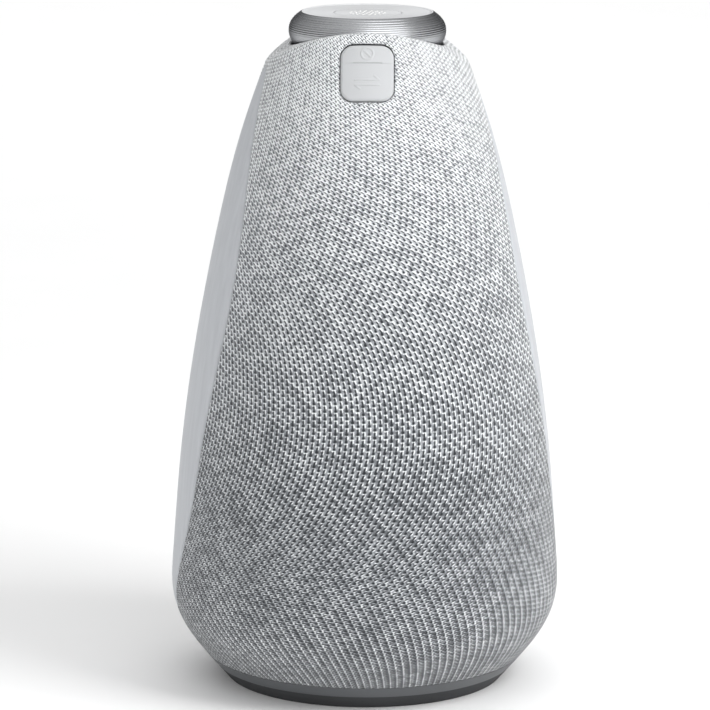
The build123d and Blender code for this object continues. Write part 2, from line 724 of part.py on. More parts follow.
# ---------------------------------------------------------------- tweeters
for side, sign in (("left", -1), ("right", 1)):
    with BuildPart() as tweeter_body:
        add(tweeter_turn(sign, TWEETER_BORE - 0.15, 42.6, 44.6))
        add(tweeter_turn(sign, 10.5, CUP_FLOOR + 1.5, 42.6))
        add(tweeter_turn(sign, 9.4, 43.2, 45.0), mode=Mode.SUBTRACT)
    finish(tweeter_body.part, f"tweeter_{side}")
    with BuildPart() as tweeter_dome:
        with BuildSketch(tweeter_plane(sign, 43.25)):
            Circle(9.2)
        extrude(amount=0.5)
        with BuildSketch(tweeter_plane(sign, 43.75)):
            Circle(6.6)
        extrude(amount=2.2, taper=38)
    finish(tweeter_dome.part, f"tweeter_dome_{side}")

# ---------------------------------------------------------------- electronics bay
BOARD_STACK = LID_BOTTOM + LID_THICK + 5.0
with BuildPart() as main_board:
    add(ring(0, 36.0, BOARD_STACK, BOARD_STACK + BOARD_THICK))
    with BuildSketch(Plane.XY.offset(BOARD_STACK)):
        with PolarLocations(30, 4, start_angle=45):
            Circle(SCREW_SHANK + SCREW_PLAY)
    extrude(amount=BOARD_THICK, mode=Mode.SUBTRACT)
finish(main_board.part, "main_board")

with BuildPart() as rf_shield:
    with BuildSketch(Plane.XY.offset(BOARD_STACK + BOARD_THICK)):
        with Locations((-10, 0)):
            RectangleRounded(26, 30, 1.2)
    extrude(amount=2.8)
finish(rf_shield.part, "rf_shield")

FIN_PITCH = 3.0
with BuildPart() as heat_sink:
    with BuildSketch(Plane.XY.offset(BOARD_STACK + BOARD_THICK)):
        with Locations((17, 0)):
            Rectangle(20, 28)
    extrude(amount=1.8)
    with BuildSketch(Plane.XY.offset(BOARD_STACK + BOARD_THICK + 1.8)):
        with Locations((17, 0)):
            with GridLocations(FIN_PITCH, 1, 7, 1):
                Rectangle(1.0, 28)
    extrude(amount=7)
finish(heat_sink.part, "heat_sink")

MIC_BOARD_Z = 212.0
with BuildPart() as mic_board:
    add(ring(16.0, 31.5, MIC_BOARD_Z, MIC_BOARD_Z + 1.2))
finish(mic_board.part, "mic_board")

with BuildPart() as microphones:
    with BuildSketch(Plane.XY.offset(MIC_BOARD_Z + 1.2)):
        with PolarLocations(28.5, 4, start_angle=45):
            RectangleRounded(3.0, 4.0, 0.4)
    extrude(amount=1.1)
finish(microphones.part, "microphones")

# ---------------------------------------------------------------- dial
def dial_flank(steps):
    """Points up the dial's cushion-shaped side, with a shallow groove at every other one."""
    rise = TOTAL_HEIGHT - DIAL_BOTTOM
    points = []
    for step in range(steps + 1):
        t = step / steps
        height = DIAL_BOTTOM + rise * t
        above = max(height - DIAL_WIDEST, 0) / (TOTAL_HEIGHT - DIAL_WIDEST)
        below = max(DIAL_WIDEST - height, 0) / (DIAL_WIDEST - DIAL_BOTTOM)
        radius = DIAL_RADIUS - (DIAL_RADIUS - DIAL_FACE_RADIUS) * above**2.4
        radius -= (DIAL_RADIUS - DIAL_BOTTOM_RADIUS) * below**2
        if step % 2:
            radius -= GROOVE_DEPTH
        points.append((radius, height))
    return points


dial_side = dial_flank(2 * DIAL_GROOVES)
TOUCH_RADIUS = 12.0
SKIN_UNDER = TOTAL_HEIGHT - 2.2

with BuildPart() as dial_ring:
    add(turned(
        dial_side
        + [
            (DIAL_FACE_RADIUS - 0.9, TOTAL_HEIGHT - DIAL_DISH),
            (TOUCH_RADIUS + 0.3, TOTAL_HEIGHT - DIAL_DISH),
            (TOUCH_RADIUS + 0.3, SKIN_UNDER - 0.3),
            (BUSH_OUT, SKIN_UNDER - 0.3),
            (BUSH_OUT, SLEEVE_BOTTOM),
            (SLEEVE_OUT, SLEEVE_BOTTOM),
            (SLEEVE_OUT, SKIN_UNDER - 0.3),
            (DIAL_FACE_RADIUS - DIAL_WALL, SKIN_UNDER - 0.3),
            (DIAL_RADIUS - DIAL_WALL, DIAL_WIDEST),
            (DIAL_BOTTOM_RADIUS - DIAL_WALL, DIAL_BOTTOM),
        ]
    ))
finish(dial_ring.part, "dial_ring")

with BuildPart() as dial_bush:
    add(ring(POST_RADIUS + SHAFT_PLAY, BUSH_OUT - 0.02, SLEEVE_BOTTOM, SLEEVE_BOTTOM + 6))
finish(dial_bush.part, "dial_bush")

with BuildPart() as encoder_magnet:
    add(ring(SLEEVE_OUT + 0.02, SLEEVE_OUT + 3, SLEEVE_BOTTOM, SLEEVE_BOTTOM + 2))
finish(encoder_magnet.part, "encoder_magnet")

CLIP_BOTTOM = SLEEVE_BOTTOM + 6.2
CLIP_TOP = CLIP_BOTTOM + 0.8
with BuildPart() as dial_carrier:
    add(ring(0, WELL_RADIUS - 0.2, LEDGE_TOP, CARRIER_FLOOR))
    add(ring(0, POST_RADIUS, CARRIER_FLOOR, POST_TOP))
    add(ring(0, 6.0, LEDGE_TOP, POST_TOP), mode=Mode.SUBTRACT)
    add(ring(POST_RADIUS - 0.7, POST_RADIUS + 1, CLIP_BOTTOM, CLIP_TOP), mode=Mode.SUBTRACT)
    with BuildSketch(Plane.XY.offset(LEDGE_TOP)):
        with PolarLocations(CARRIER_SCREW_RADIUS, CARRIER_SCREWS, start_angle=90):
            Circle(SCREW_SHANK + SCREW_PLAY)
    extrude(amount=CARRIER_FLOOR - LEDGE_TOP, mode=Mode.SUBTRACT)
finish(dial_carrier.part, "dial_carrier")

with BuildPart() as dial_clip:
    with BuildSketch(Plane.XY.offset(CLIP_BOTTOM + 0.05)):
        Circle(POST_RADIUS + 1.4)
        Circle(POST_RADIUS - 0.65, mode=Mode.SUBTRACT)
        with Locations((POST_RADIUS, 0)):
            Rectangle(6, 5, mode=Mode.SUBTRACT)
    extrude(amount=CLIP_TOP - CLIP_BOTTOM - 0.1)
finish(dial_clip.part, "dial_clip")

with BuildPart() as glide_washer:
    add(ring(POST_RADIUS + 0.4, SLEEVE_OUT, CARRIER_FLOOR, SLEEVE_BOTTOM - 0.1))
finish(glide_washer.part, "glide_washer")

with BuildPart() as encoder_board:
    add(ring(SLEEVE_OUT + 0.5, 23.0, CARRIER_FLOOR, CARRIER_FLOOR + 1.2))
    with BuildSketch(Plane.XY.offset(CARRIER_FLOOR + 1.2)):
        with PolarLocations(SLEEVE_OUT + 2.5, 2, angular_range=36):
            Rectangle(2.0, 3.0)
    extrude(amount=1.0)
finish(encoder_board.part, "encoder_board")

with BuildPart() as led_board:
    add(ring(0, BUSH_OUT - 0.6, POST_TOP, POST_TOP + 1.0))
finish(led_board.part, "led_board")

with BuildPart() as light_guide:
    add(ring(0, BUSH_OUT - 0.6, POST_TOP + 1.0, TOTAL_HEIGHT - 1.9))
finish(light_guide.part, "light_guide")

with BuildPart() as touch_disc:
    add(ring(0, BUSH_OUT - 0.6, TOTAL_HEIGHT - 1.9, TOTAL_HEIGHT - 1.2))
    add(ring(0, TOUCH_RADIUS, TOTAL_HEIGHT - 1.2, TOTAL_HEIGHT - DIAL_DISH))
finish(touch_disc.part, "touch_disc")

with BuildPart() as carrier_screws:
    for bottom, top, radius in (
        (LEDGE_BOTTOM, CARRIER_FLOOR, SCREW_SHANK - 0.05),
        (CARRIER_FLOOR, CARRIER_FLOOR + 1.3, 2.2),
    ):
        with BuildSketch(Plane.XY.offset(bottom)):
            with PolarLocations(CARRIER_SCREW_RADIUS, CARRIER_SCREWS, start_angle=90):
                Circle(radius)
        extrude(amount=top - bottom)
finish(carrier_screws.part, "carrier_screws")

# ---------------------------------------------------------------- key pad
KEY_SEAM = 0.15
FLEX_OUT = 2.2
FLEX_IN = 2.5
form_key_out = body_form(-KEY_PROUD)
form_key_in = body_form(KEY_BACK)
form_nub_in = body_form(KEY_BACK + 0.3)
form_dome_out = body_form(FLEX_OUT - 0.15)
form_flex_out = body_form(FLEX_OUT)
form_flex_in = body_form(FLEX_IN)
key_bands = {
    "key_mute": (PAD_SPLIT + KEY_SEAM, PAD_TOP),
    "key_link": (PAD_BOTTOM, PAD_SPLIT - KEY_SEAM),
}


def pad_post(middle, radius):
    """A round bar square to the pad, part way up it."""
    with BuildPart() as part:
        with BuildSketch(pad_plane.offset(-8)):
            with Locations((0, middle)):
                Circle(radius)
        extrude(amount=16)
    return part.part


for name, (low, high) in key_bands.items():
    middle = (low + high) / 2
    with BuildPart() as key:
        add(pad_prism(0.0, low, high))
        add(form_key_out, mode=Mode.INTERSECT)
        add(form_key_in, mode=Mode.SUBTRACT)
        add((pad_post(middle, 1.5) & form_key_in) - form_nub_in)
    finish(key.part, name)

with BuildPart() as snap_domes:
    for low, high in key_bands.values():
        add((pad_post((low + high) / 2, 2.4) & form_dome_out) - form_flex_out)
finish(snap_domes.part, "snap_domes")

with BuildPart() as key_flex:
    add(pad_prism(-0.3))
    add(form_flex_out, mode=Mode.INTERSECT)
    add(form_flex_in, mode=Mode.SUBTRACT)
finish(key_flex.part, "key_flex")

# ---------------------------------------------------------------- screws
with BuildPart() as base_screws:
    for bottom, top, radius in (
        (FOOT_TOP - 1.4, FOOT_TOP, 2.4),
        (FOOT_TOP, POWER_BOARD_Z - 1, SCREW_SHANK - 0.05),
    ):
        with BuildSketch(Plane.XY.offset(bottom)):
            with PolarLocations(FOOT_SCREW_RADIUS, 4, start_angle=45):
                Circle(radius)
        extrude(amount=top - bottom)
finish(base_screws.part, "base_screws")

with BuildPart() as side_screws:
    for angle in leaf_headings.values():
        add(side_bars(angle, SCREW_SHANK - 0.05, SCREW_END_DEPTH, HEAD_BOTTOM_DEPTH))
        add(side_bars(angle, SCREW_HEAD, HEAD_BOTTOM_DEPTH, HEAD_TOP_DEPTH))
finish(side_screws.part, "side_screws")

with BuildPart() as woofer_screws:
    for bottom, top, radius in (
        (FLANGE_BOTTOM - 1.2, FLANGE_BOTTOM, 2.2),
        (FLANGE_BOTTOM, BAFFLE_BOTTOM, SCREW_SHANK - 0.05),
    ):
        with BuildSketch(Plane.XY.offset(bottom)):
            with PolarLocations(WOOFER_SCREW_RADIUS, 6):
                Circle(radius)
        extrude(amount=top - bottom)
finish(woofer_screws.part, "woofer_screws")
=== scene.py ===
import json
import math

import bmesh
import bpy
import numpy as np
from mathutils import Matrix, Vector


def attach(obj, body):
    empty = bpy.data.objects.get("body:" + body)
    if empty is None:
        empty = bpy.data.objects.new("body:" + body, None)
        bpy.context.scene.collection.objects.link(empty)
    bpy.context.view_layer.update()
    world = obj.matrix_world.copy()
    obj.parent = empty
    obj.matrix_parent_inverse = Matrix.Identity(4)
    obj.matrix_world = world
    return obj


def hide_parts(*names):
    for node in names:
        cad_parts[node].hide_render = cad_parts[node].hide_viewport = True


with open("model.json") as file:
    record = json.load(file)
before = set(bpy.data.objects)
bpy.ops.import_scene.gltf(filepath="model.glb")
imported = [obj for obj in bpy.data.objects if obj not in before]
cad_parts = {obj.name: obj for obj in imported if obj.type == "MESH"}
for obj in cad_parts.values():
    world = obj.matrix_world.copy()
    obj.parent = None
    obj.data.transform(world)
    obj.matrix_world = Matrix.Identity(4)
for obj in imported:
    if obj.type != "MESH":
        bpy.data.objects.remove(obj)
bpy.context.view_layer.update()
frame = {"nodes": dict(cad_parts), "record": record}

MM = 0.001

# ---------------------------------------------------------------- the object's form, in millimetres
# Half outline of the round body as (radius, height); the same driving sizes as the frame's.
FLANK = [
    (49.9, 0.0), (54.4, 5.2), (59.4, 11.2), (65.0, 19.0), (69.0, 29.0), (69.3, 44.0),
    (66.3, 82.0), (59.7, 129.2), (52.4, 166.2), (44.2, 198.5), (37.9, 216.9), (29.7, 238.5),
]
RIDGE_HEIGHT = 235.8
ARCH_RADIUS = 55.0
PAN_TOP = 9.0
TOTAL_HEIGHT = 240.0
HEM_RADIUS = 28.4             # where the fabric turns down into the dial's well, in front
HEM_SIDE_IN = 1.4             # and how much nearer it comes at the sides
HEM_BOTTOM = 225.5
HEM_SIDE_DROP = 3.0           # how much deeper it reaches at the sides
STEEP_FROM = 205.0            # the outline is sampled more finely from here up
FORM_END = 237.0
ROUNDING_REACH = 0.9
OUTLINE_STEP = 0.1

PANEL_TURN = 8.5              # the side panels' axis is turned this far from the X axis
LEAF = [(10.4, 43.6), (17.4, 62.0), (22.4, 98.5), (24.8, 135.0), (20.6, 172.0), (9.2, 208.0)]
LEAF_BOTTOM = 25.0
LEAF_TOP = 221.0
PANEL_GAP = 0.35
PANEL_DEPTH = 1.6
PANEL_EDGE = 0.75             # its edge is rounded over this width
PANEL_SINK = 0.05

PAD_HEIGHT = 222.8
PAD_RADIUS = 35.65
PAD_TILT = math.radians(20.6)
PAD_HALF_WIDTH = 9.4
PAD_BOTTOM = -10.0
PAD_TOP = 10.0
PAD_SPLIT = 3.5
PAD_CORNER = 4.6
PAD_GAP = 0.35
KEY_PROUD = 0.25

DIAL_RADIUS = 27.8
DIAL_BOTTOM = 228.5
DIAL_BOTTOM_RADIUS = 25.8
DIAL_WIDEST = 233.3
DIAL_FACE_RADIUS = 23.4
DIAL_DISH = 0.18
DIAL_GROOVES = 15
GROOVE_DEPTH = 0.2
GROOVES_FULL_FROM = 233.0     # the grooves grow from faint to full over the height above this
DIAL_LIP = 0.6                # width of the rounding between the dial's side and its face
DIAL_HOLLOW = 0.45            # how much the face falls towards its middle
DIAL_FACE_DEPTH = 1.6
TOUCH_GAP = 0.06
TOUCH_RADIUS = 12.0

# ---------------------------------------------------------------- numbers along the form
def natural_spline(knots, values, places):
    """A smooth curve through the knots, as the frame's own outline has."""
    knots, values, places = (np.asarray(v, float) for v in (knots, values, places))
    gaps = np.diff(knots)
    slopes = np.diff(values) / gaps
    matrix = np.eye(len(knots))
    right = np.zeros(len(knots))
    for i in range(1, len(knots) - 1):
        matrix[i, i - 1 : i + 2] = gaps[i - 1], 2 * (gaps[i - 1] + gaps[i]), gaps[i]
        right[i] = 6 * (slopes[i] - slopes[i - 1])
    bends = np.linalg.solve(matrix, right)
    i = np.clip(np.searchsorted(knots, places) - 1, 0, len(gaps) - 1)
    left, over = knots[i + 1] - places, places - knots[i]
    h = gaps[i]
    return (
        (bends[i] * left**3 + bends[i + 1] * over**3) / (6 * h)
        + (values[i] / h - bends[i] * h / 6) * left
        + (values[i + 1] / h - bends[i + 1] * h / 6) * over
    )


def flank_radius(height):
    """Outer radius at a height."""
    return natural_spline([z for _, z in FLANK], [r for r, _ in FLANK], height)


def leaf_half(height):
    """Half width of a side panel at a height."""
    heights = [LEAF_BOTTOM] + [z for _, z in LEAF] + [LEAF_TOP]
    halves = [0.0] + [w for w, _ in LEAF] + [0.0]
    turns = natural_spline(heights, np.square(halves), height)
    return np.sqrt(np.clip(turns, 0, None))


def arch_height(across):
    """Height of the barrel-shaped roof at a distance from its ridge."""
    return RIDGE_HEIGHT - ARCH_RADIUS + math.sqrt(ARCH_RADIUS**2 - min(abs(across), ARCH_RADIUS) ** 2)


def meridian(azimuth):
    """Outline (radius, height) of the sleeve at one azimuth, from its lower edge into the well."""
    sine = math.sin(azimuth)
    low = np.linspace(PAN_TOP, STEEP_FROM, 400)
    steep = np.linspace(STEEP_FROM, FORM_END, 320)[1:]
    heights = np.concatenate((low, steep))
    radii = flank_radius(heights)
    roof = np.array([arch_height(r * sine) for r in radii])
    under = heights < roof
    rim = int(np.argmin(under)) if not under.all() else len(heights)
    flank = np.column_stack((radii[:rim], heights[:rim]))
    hem = HEM_RADIUS - HEM_SIDE_IN * sine**4
    inner = np.linspace(flank[-1, 0], hem, 40)[1:]
    top = np.array([(r, arch_height(r * sine)) for r in inner])
    bottom = HEM_BOTTOM - HEM_SIDE_DROP * abs(sine)
    down = np.array([(hem, z) for z in np.linspace(top[-1, 1], bottom, 16)[1:]])
    line = np.vstack((flank, top, down))
    return round_corners(line)


def round_corners(line):
    """Softens an outline's corners by averaging along its length."""
    length = np.concatenate(([0], np.cumsum(np.hypot(*np.diff(line, axis=0).T))))
    even = np.linspace(0, length[-1], int(length[-1] / OUTLINE_STEP))
    radius, height = (np.interp(even, length, line[:, k]) for k in (0, 1))
    reach = int(ROUNDING_REACH / OUTLINE_STEP)
    window = np.hanning(2 * reach + 1)
    window /= window.sum()
    soft = []
    for values in (radius, height):
        before = 2 * values[0] - values[reach:0:-1]
        after = 2 * values[-1] - values[-2 : -reach - 2 : -1]
        soft.append(np.convolve(np.concatenate((before, values, after)), window, "valid"))
    return np.column_stack(soft)


KNIT_START = 20.0             # the height that the knit's lattice is counted from
COURSES_PER_MM = 0.83
COURSE_EASE = 0.0005
LEAN_AT_START = 16.3          # courses by which the knit leans over a quarter turn
LEAN_RATE = 0.245
LEAN_EASE = 0.00042
WALES_PER_RADIAN = 33.0
WALE_DRIFT = 0.62
WALE_EASE = 0.0036


def knit_phases(azimuth, height):
    """Two phases, in cells, of the knit's lattice, which leans one way low down and the other way high up."""
    rise = height - KNIT_START
    course = COURSES_PER_MM * rise - COURSE_EASE * rise**2
    lean = LEAN_AT_START - LEAN_RATE * rise + LEAN_EASE * rise**2
    course = course + lean * np.sin(azimuth)
    wale = WALES_PER_RADIAN * azimuth - WALE_DRIFT * rise + WALE_EASE * rise**2
    return (course + wale) / 2, (course - wale) / 2


# ---------------------------------------------------------------- mesh helpers
def new_mesh(name, vertices, faces, smooth=True):
    mesh = bpy.data.meshes.new(name)
    mesh.from_pydata([tuple(v) for v in np.asarray(vertices) * MM], [], faces)
    mesh.validate()
    for polygon in mesh.polygons:
        polygon.use_smooth = smooth
    piece = bpy.data.objects.new(name, mesh)
    bpy.context.scene.collection.objects.link(piece)
    return piece


def grid_faces(rows, columns, closed=False):
    """Quads over a grid of vertices, numbered row by row."""
    faces = []
    span = columns if closed else columns - 1
    for row in range(rows - 1):
        for column in range(span):
            following = (column + 1) % columns
            faces.append((
                row * columns + column, row * columns + following,
                (row + 1) * columns + following, (row + 1) * columns + column,
            ))
    return faces


def recalculate_outward(piece):
    work = bmesh.new()
    work.from_mesh(piece.data)
    bmesh.ops.recalc_face_normals(work, faces=work.faces)
    work.to_mesh(piece.data)
    work.free()


def turned(name, outline, steps=192):
    """A ring of quads turned about Z from a list of (radius, height) points."""
    turns = np.linspace(0, 2 * math.pi, steps, endpoint=False)
    vertices = [(r * math.cos(a), r * math.sin(a), z) for r, z in outline for a in turns]
    piece = new_mesh(name, vertices, grid_faces(len(outline), steps, closed=True))
    recalculate_outward(piece)
    return piece


# ---------------------------------------------------------------- materials
class Nodes:
    """A short way to write a node tree."""

    def __init__(self, tree):
        self.tree = tree

    def add(self, kind, **settings):
        node = self.tree.nodes.new(kind)
        for key, value in settings.items():
            setattr(node, key, value)
        return node

    def put(self, socket, value):
        if isinstance(value, bpy.types.NodeSocket):
            self.tree.links.new(value, socket)
        else:
            socket.default_value = value

    def math(self, operation, *values, clamp=False):
        node = self.add("ShaderNodeMath", operation=operation, use_clamp=clamp)
        for socket, value in zip(node.inputs, values):
            self.put(socket, value)
        return node.outputs[0]

    def noise(self, vector, scale, detail=2.0, roughness=0.5):
        node = self.add("ShaderNodeTexNoise")
        self.put(node.inputs["Vector"], vector)
        node.inputs["Scale"].default_value = scale
        node.inputs["Detail"].default_value = detail
        node.inputs["Roughness"].default_value = roughness
        return node.outputs["Fac"]

    def ramp(self, factor, stops):
        node = self.add("ShaderNodeValToRGB")
        self.put(node.inputs[0], factor)
        elements = node.color_ramp.elements
        while len(elements) < len(stops):
            elements.new(0.5)
        for element, (place, colour) in zip(elements, stops):
            element.position = place
            element.color = (*colour, 1)
        return node.outputs[0]

    def bump(self, height, distance, strength=1.0):
        node = self.add("ShaderNodeBump")
        self.put(node.inputs["Height"], height)
        node.inputs["Distance"].default_value = distance
        node.inputs["Strength"].default_value = strength
        return node.outputs[0]

    def split(self, vector):
        node = self.add("ShaderNodeSeparateXYZ")
        self.put(node.inputs[0], vector)
        return node.outputs

    def dot(self, vector, direction):
        node = self.add("ShaderNodeVectorMath", operation="DOT_PRODUCT")
        self.put(node.inputs[0], vector)
        node.inputs[1].default_value = direction
        return node.outputs["Value"]

    def stretched(self, vector, scale):
        node = self.add("ShaderNodeMapping")
        self.put(node.inputs["Vector"], vector)
        node.inputs["Scale"].default_value = scale
        return node.outputs[0]


class MaterialNodes(Nodes):
    """A short way to write a node material."""

    def __init__(self, name):
        self.material = bpy.data.materials.new(name)
        self.material.use_nodes = True
        super().__init__(self.material.node_tree)
        self.shader = self.tree.nodes["Principled BSDF"]

    def place(self):
        return self.add("ShaderNodeTexCoord").outputs["Object"]

    def finish(self, **inputs):
        for key, value in inputs.items():
            self.put(self.shader.inputs[key.replace("_", " ")], value)
        return self.material


def plastic(name, colour, roughness=0.45, grain=0.03, size=2600.0, spread=0.08):
    """Moulded plastic: a fine eroded grain, with slight unevenness in gloss and tone."""
    n = MaterialNodes(name)
    at = n.place()
    fine = n.noise(at, size, 3.0)
    broad = n.noise(at, 35.0, 2.0)
    dark = [c * (1 - spread) for c in colour]
    light = [min(1.0, c * (1 + spread)) for c in colour]
    tone = n.ramp(broad, [(0.3, dark), (0.7, light)])
    gloss = n.math("MULTIPLY_ADD", fine, 0.14, roughness - 0.07)
    return n.finish(Base_Color=tone, Roughness=gloss, Normal=n.bump(fine, grain * MM, 0.6))


def metal(name, colour, roughness=0.35, grain=0.01):
    """Plain metal with fine rolled or turned marks."""
    n = MaterialNodes(name)
    fine = n.noise(n.stretched(n.place(), (300, 300, 4000)), 1.0, 2.0)
    tone = n.ramp(fine, [(0.2, [c * 0.85 for c in colour]), (0.8, colour)])
    gloss = n.math("MULTIPLY_ADD", fine, 0.2, roughness - 0.1)
    return n.finish(Base_Color=tone, Metallic=1.0, Roughness=gloss, Normal=n.bump(fine, grain * MM, 0.5))


def cloth(name, colour):
    """Small treated-cloth parts: a plain weave."""
    n = MaterialNodes(name)
    wave = n.add("ShaderNodeTexWave", wave_type="BANDS", bands_direction="DIAGONAL")
    n.put(wave.inputs["Vector"], n.place())
    wave.inputs["Scale"].default_value = 600
    tone = n.ramp(wave.outputs["Fac"], [(0.0, [c * 0.7 for c in colour]), (1.0, colour)])
    return n.finish(Base_Color=tone, Roughness=0.85, Normal=n.bump(wave.outputs["Fac"], 0.1 * MM, 0.7))


# Over this stretch of height, in metres, the slanted gaps turn from one lean to the other.
TURN_FROM = 0.04
TURN_SPAN = 0.12
# The wales stand out as light ribs below this height, fading in over the span.
RIB_TOP = 0.075
RIB_SPAN = 0.05
# Painted shade and light: the knit is made darker low down and lighter high up, for the light falling from
# above; a little of it is the dark ground showing where the fabric is stretched wider low down.
STRETCH_AND_PAINTED_SHADE = 2.2
STRETCH_AND_PAINTED_SHADE_START = -0.300


def knit_material():
    """Light melange jersey: pale stitches, dark gaps on the knit's lattice and uneven yarn, with painted
    highlights by the gaps and painted shade low down.
    """
    n = MaterialNodes("knit")
    uv = n.add("ShaderNodeUVMap", uv_map="knit").outputs[0]
    first, second, _ = n.split(uv)
    place = n.place()
    height = n.split(place)[2]
    up = n.math("MULTIPLY_ADD", height, 1 / TURN_SPAN, -TURN_FROM / TURN_SPAN, clamp=True)

    def local(shift):
        """Place within a cell in millimetres, from a lattice point moved by part of a cell."""
        u = n.math("WRAP", n.math("ADD", first, shift), 0.5, -0.5)
        v = n.math("WRAP", n.math("ADD", second, shift), 0.5, -0.5)
        across = n.math("ADD", n.math("MULTIPLY", u, 2.0), n.math("MULTIPLY", v, -1.9))
        along = n.math("ADD", n.math("MULTIPLY", u, 1.30), n.math("MULTIPLY", v, 1.36))
        return across, along

    def blot(across, along, width, length):
        """A soft spot, one at its middle."""
        a = n.math("POWER", n.math("ABSOLUTE", n.math("DIVIDE", across, width)), 2.0)
        b = n.math("POWER", n.math("ABSOLUTE", n.math("DIVIDE", along, length)), 2.0)
        return n.math("POWER", 2.718, n.math("MULTIPLY", n.math("ADD", a, b), -1.0))

    across, along = local(0.0)
    hole = blot(across, along, 0.40, 0.44)
    # Painted highlight: a light crescent below each hole, as if the stitch were lit from above.
    painted_highlight_below_hole = blot(across, n.math("ADD", along, 0.66), 0.62, 0.30)
    across, along = local(0.5)
    turn = n.math("MULTIPLY_ADD", up, -1.45, 0.80)
    sine, cosine = n.math("SINE", turn), n.math("COSINE", turn)
    turned_across = n.math("SUBTRACT", n.math("MULTIPLY", across, cosine), n.math("MULTIPLY", along, sine))
    turned_along = n.math("ADD", n.math("MULTIPLY", across, sine), n.math("MULTIPLY", along, cosine))
    dash = blot(turned_across, turned_along, 0.25, 0.60)
    # Painted highlight: a glint beside each dash, as if lit from the right.
    glint = blot(n.math("ADD", turned_across, -0.52), turned_along, 0.24, 0.55)
    low = n.math("MULTIPLY_ADD", height, -1 / RIB_SPAN, RIB_TOP / RIB_SPAN, clamp=True)
    line_phase = n.math("MULTIPLY", n.math("SUBTRACT", first, 0.25), 2 * math.pi)
    wale_line = n.math("POWER", n.math("MULTIPLY_ADD", n.math("COSINE", line_phase), 0.5, 0.5), 5.0)
    wale_line = n.math("MULTIPLY", wale_line, low)

    cell = n.add("ShaderNodeCombineXYZ")
    n.put(cell.inputs[0], n.math("ROUND", first))
    n.put(cell.inputs[1], n.math("ROUND", second))
    stitch = n.add("ShaderNodeTexWhiteNoise", noise_dimensions="2D")
    n.put(stitch.inputs["Vector"], cell.outputs[0])
    yarn = n.math("SUBTRACT", stitch.outputs["Value"], 0.5)
    blotches = n.math("SUBTRACT", n.noise(place, 95.0, 3.0, 0.6), 0.5)
    fibres = n.math("SUBTRACT", n.noise(place, 3200.0, 3.0, 0.65), 0.5)
    strands = n.math("SUBTRACT", n.noise(place, 900.0, 3.0, 0.6), 0.5)

    gaps = n.math("ADD", n.math("MULTIPLY", hole, 0.92), n.math("MULTIPLY", dash, 0.86))
    # Painted highlights below the holes and beside the dashes, with the light wale ribs low down added in.
    lights = n.math("ADD", n.math("MULTIPLY", painted_highlight_below_hole, 0.48), n.math("MULTIPLY", glint, 0.46))
    lights = n.math("ADD", lights, n.math("MULTIPLY", wale_line, 0.44))
    relief = n.math("ADD", n.math("SUBTRACT", 0.60, gaps), lights)
    # Painted shade and light by height: darker low down, lighter high up.
    stretch_and_painted_shade = n.math("MULTIPLY_ADD", height, STRETCH_AND_PAINTED_SHADE, STRETCH_AND_PAINTED_SHADE_START)
    shade = n.math("ADD", n.math("ADD", relief, stretch_and_painted_shade), n.math("MULTIPLY", yarn, 0.17))
    for variation, share in ((strands, 0.46), (blotches, 0.12), (fibres, 0.20)):
        shade = n.math("ADD", shade, n.math("MULTIPLY", variation, share))
    tone = n.ramp(shade, [
        (0.08, (0.012, 0.015, 0.019)),
        (0.36, (0.084, 0.092, 0.102)),
        (0.60, (0.350, 0.368, 0.390)),
        (0.84, (0.88, 0.895, 0.91)),
    ])
    rough = n.math("ADD", relief, n.math("MULTIPLY", fibres, 0.25))
    normal = n.bump(rough, 0.42 * MM, 0.85)
    return n.finish(Base_Color=tone, Roughness=0.88, Sheen_Weight=0.38, Sheen_Roughness=0.5, Normal=normal)


def satin_panel_material():
    """Satin grey panels with faint upright streaks in tone and gloss."""
    n = MaterialNodes("panel_satin")
    at = n.place()
    streak = n.noise(n.stretched(at, (420, 420, 6)), 1.0, 3.0, 0.6)
    fine = n.noise(at, 2400.0, 3.0)
    tone = n.ramp(streak, [(0.25, (0.480, 0.496, 0.522)), (0.75, (0.555, 0.573, 0.600))])
    gloss = n.math("MULTIPLY_ADD", streak, 0.16, 0.36)
    normal = n.bump(fine, 0.02 * MM, 0.5)
    return n.finish(Base_Color=tone, Roughness=gloss, Specular_IOR_Level=0.2, Normal=normal)


MARKS_PER_METRE = 5200.0


def turned_metal_material(name, dark, light, polish, metallic=1.0, edge=1.0):
    """Aluminium turned on a lathe: rings of fine marks about the axis."""
    n = MaterialNodes(name)
    at = n.place()
    x, y, z = n.split(at)
    radius = n.math("SQRT", n.math("ADD", n.math("POWER", x, 2.0), n.math("POWER", y, 2.0)))
    ring = n.add("ShaderNodeCombineXYZ")
    n.put(ring.inputs[0], n.math("MULTIPLY", radius, MARKS_PER_METRE))
    n.put(ring.inputs[1], n.math("MULTIPLY", z, MARKS_PER_METRE))
    marks = n.noise(ring.outputs[0], 1.0, 3.0, 0.7)
    tone = n.ramp(marks, [(0.2, dark), (0.8, light)])
    gloss = n.math("MULTIPLY_ADD", marks, 0.14, polish)
    tangent = n.add("ShaderNodeTangent", direction_type="RADIAL", axis="Z")
    n.put(n.shader.inputs["Tangent"], tangent.outputs[0])
    # The dark edge tint darkens the reflections at grazing angles: painted shade at the ends of the dial's
    # side.
    return n.finish(Base_Color=tone, Metallic=metallic, Roughness=gloss, Anisotropic=0.5,
                    Specular_Tint=(edge, edge, edge, 1),
                    Normal=n.bump(marks, 0.006 * MM, 0.5))


